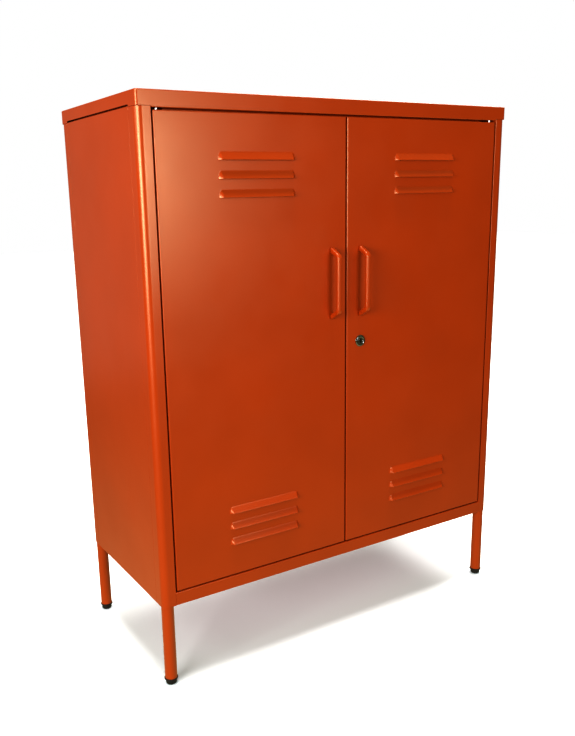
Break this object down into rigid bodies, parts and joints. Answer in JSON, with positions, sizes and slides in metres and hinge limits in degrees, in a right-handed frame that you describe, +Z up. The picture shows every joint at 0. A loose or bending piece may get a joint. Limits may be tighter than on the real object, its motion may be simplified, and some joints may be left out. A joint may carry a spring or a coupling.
{
  "type": "school locker",
  "caption": "Low two-door steel locker on round legs, with louvred doors, bridge handles, a cam lock, shelves and plastic feet.",
  "frame": {"origin": "on the floor, at the middle of the locker's outer box with its handles included", "axes": "+X to the user's right when facing the doors, +Y from the doors to the back, +Z up"},
  "size_m": [0.8, 0.376, 1.02],
  "materials": {
    "orange_paint": "satin powder coat on folded steel sheet",
    "zinc": "bright zinc plate",
    "chrome": "polished chrome plate",
    "black_plastic": "moulded black polyethylene",
    "nylon": "natural nylon",
    "ferrite": "sintered ferrite magnet"
  },
  "bodies": {
    "carcass": {"front_left_post": "orange_paint", "front_right_post": "orange_paint", "rear_left_post": "orange_paint", "rear_right_post": "orange_paint", "top_cap": "orange_paint", "bottom_tray": "orange_paint", "front_left_leg": "orange_paint", "front_right_leg": "orange_paint", "rear_left_leg": "orange_paint", "rear_right_leg": "orange_paint", "lower_shelf": "orange_paint", "upper_shelf": "orange_paint", "front_left_foot": "black_plastic", "front_right_foot": "black_plastic", "rear_left_foot": "black_plastic", "rear_right_foot": "black_plastic", "left_lower_pin": "zinc", "right_lower_pin": "zinc", "left_side_panel": "orange_paint", "right_side_panel": "orange_paint", "front_left_leg_screw": "zinc", "front_right_leg_screw": "zinc", "rear_left_leg_screw": "zinc", "rear_right_leg_screw": "zinc", "left_upper_pin": "zinc", "right_upper_pin": "zinc", "lower_clip_front_left": "zinc", "upper_clip_front_left": "zinc", "lower_clip_front_right": "zinc", "upper_clip_front_right": "zinc", "lower_clip_rear_left": "zinc", "upper_clip_rear_left": "zinc", "lower_clip_rear_right": "zinc", "upper_clip_rear_right": "zinc", "back_panel": "orange_paint", "left_catch_case": "black_plastic", "right_catch_case": "black_plastic", "left_catch_magnet": "ferrite", "right_catch_magnet": "ferrite"},
    "left_door": {"left_door_panel": "orange_paint", "left_handle": "orange_paint", "left_upper_bush": "nylon", "left_lower_bush": "nylon", "left_door_stiffener": "orange_paint", "bolt_guide": "zinc", "left_handle_lower_screw": "zinc", "left_handle_upper_screw": "zinc"},
    "right_door": {"right_door_panel": "orange_paint", "lock_body": "chrome", "right_handle": "orange_paint", "right_upper_bush": "nylon", "right_lower_bush": "nylon", "lock_nut": "zinc", "right_door_stiffener": "orange_paint", "right_handle_lower_screw": "zinc", "right_handle_upper_screw": "zinc"},
    "lock_barrel": {"lock_plug": "chrome", "lock_cam": "zinc", "lock_cam_screw": "zinc"},
    "slide_bolt": {"door_bolt": "zinc"}
  },
  "joints": [
    {"name": "left_door_hinge", "type": "hinge", "parent": "carcass", "child": "left_door", "pos_m": [-0.363, -0.154, 0.587], "axis": [0, 0, -1], "range_deg": [0, 110]},
    {"name": "right_door_hinge", "type": "hinge", "parent": "carcass", "child": "right_door", "pos_m": [0.363, -0.154, 0.587], "axis": [0, 0, 1], "range_deg": [0, 110]},
    {"name": "lock_turn", "type": "hinge", "parent": "right_door", "child": "lock_barrel", "pos_m": [0.033, -0.162, 0.58675], "axis": [0, 1, 0], "range_deg": [0, 90]},
    {"name": "bolt_slide", "type": "slide", "parent": "left_door", "child": "slide_bolt", "axis": [0, 0, 1], "range_m": [0, 0.012]}
  ]
}
